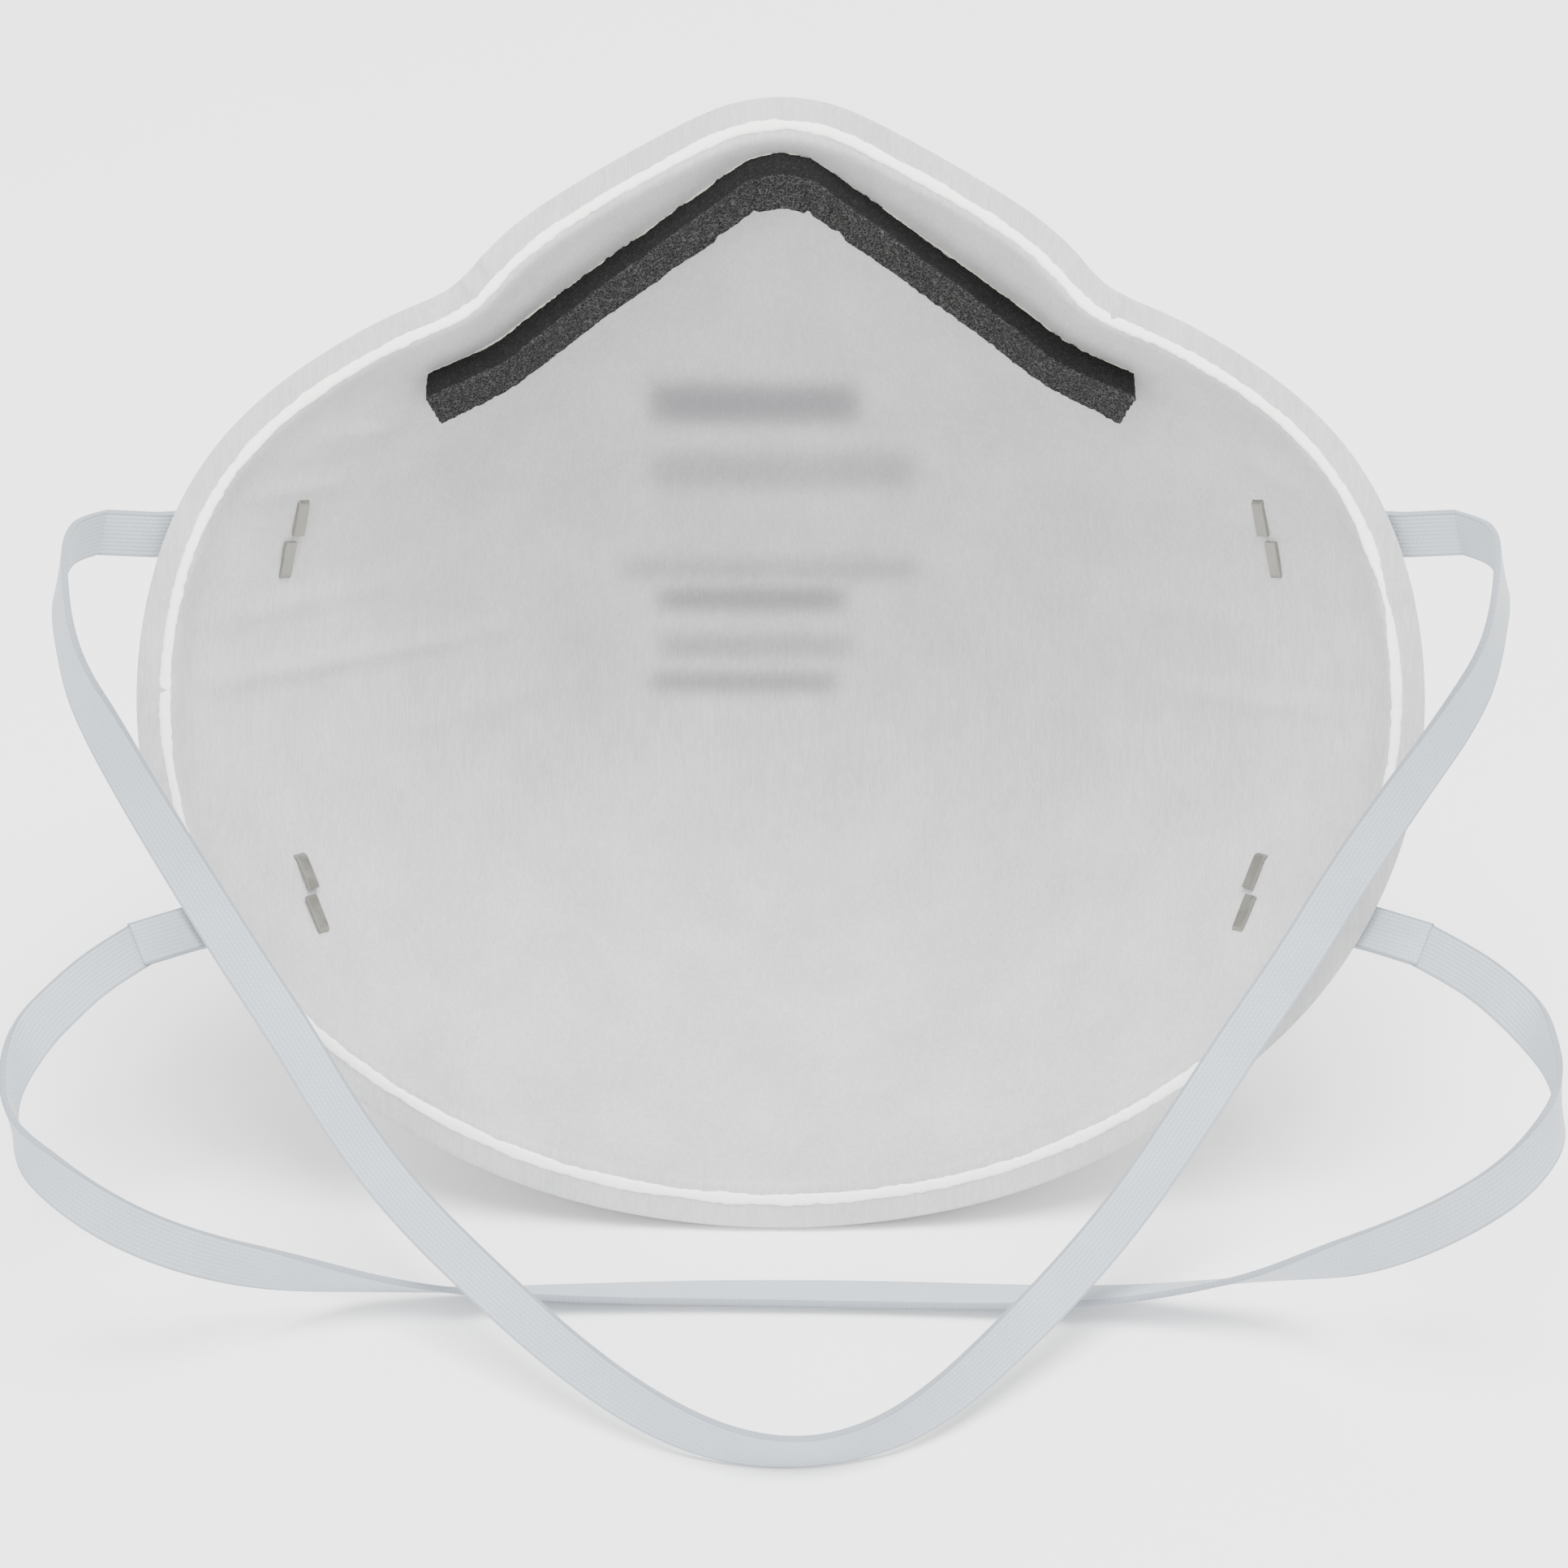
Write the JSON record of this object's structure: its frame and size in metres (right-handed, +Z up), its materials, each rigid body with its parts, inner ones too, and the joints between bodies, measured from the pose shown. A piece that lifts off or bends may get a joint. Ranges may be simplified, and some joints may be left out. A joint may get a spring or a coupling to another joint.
{
  "type": "disposable dust mask",
  "caption": "Moulded cup face mask with a sealed flange, a foam nose cushion, a nose clip and stapled elastic head straps.",
  "frame": {"origin": "on the floor, under the middle of the mask's box without its free straps", "axes": "+X across the face to the right of someone who looks into the cup, +Y away from the wearer, +Z up; the flange leans back 30 degrees"},
  "size_m": [0.167, 0.1192, 0.1097],
  "materials": {
    "lining": "soft matted fibre",
    "filter_fibre": "fine blown fibre",
    "cover": "soft matted fibre",
    "weld": "fused fibre, satin",
    "glue": "dried glue, satin",
    "foam": "open-cell foam",
    "clip": "soft aluminium, satin",
    "elastic": "smooth elastic band",
    "staple_wire": "flat galvanised wire"
  },
  "bodies": {
    "mask": {"inner_lining": "lining", "filter_web": "filter_fibre", "outer_cover": "cover", "edge_weld": "weld", "nose_foam_glue": "glue", "nose_foam": "foam", "nose_clip_glue": "glue", "nose_clip": "clip", "upper_strap_left_end": "elastic", "upper_left_staple": "staple_wire", "upper_strap_right_end": "elastic", "upper_right_staple": "staple_wire", "lower_strap_left_end": "elastic", "lower_left_staple": "staple_wire", "lower_strap_right_end": "elastic", "lower_right_staple": "staple_wire"},
    "upper_band": {"upper_strap": "elastic"},
    "lower_band": {"lower_strap": "elastic"}
  },
  "joints": [
    {"name": "upper_band_swing", "type": "hinge", "parent": "mask", "child": "upper_band", "pos_m": [0, -0.00229, 0.06966], "axis": [-1, 0, 0], "range_deg": [0, 120]},
    {"name": "lower_band_swing", "type": "hinge", "parent": "mask", "child": "lower_band", "pos_m": [0, -0.02572, 0.03038], "axis": [-1, 0, 0], "range_deg": [0, 72]}
  ],
  "couplings": [
    {"joint": "lower_band_swing", "follows": "upper_band_swing", "ratio": 0.6}
  ]
}
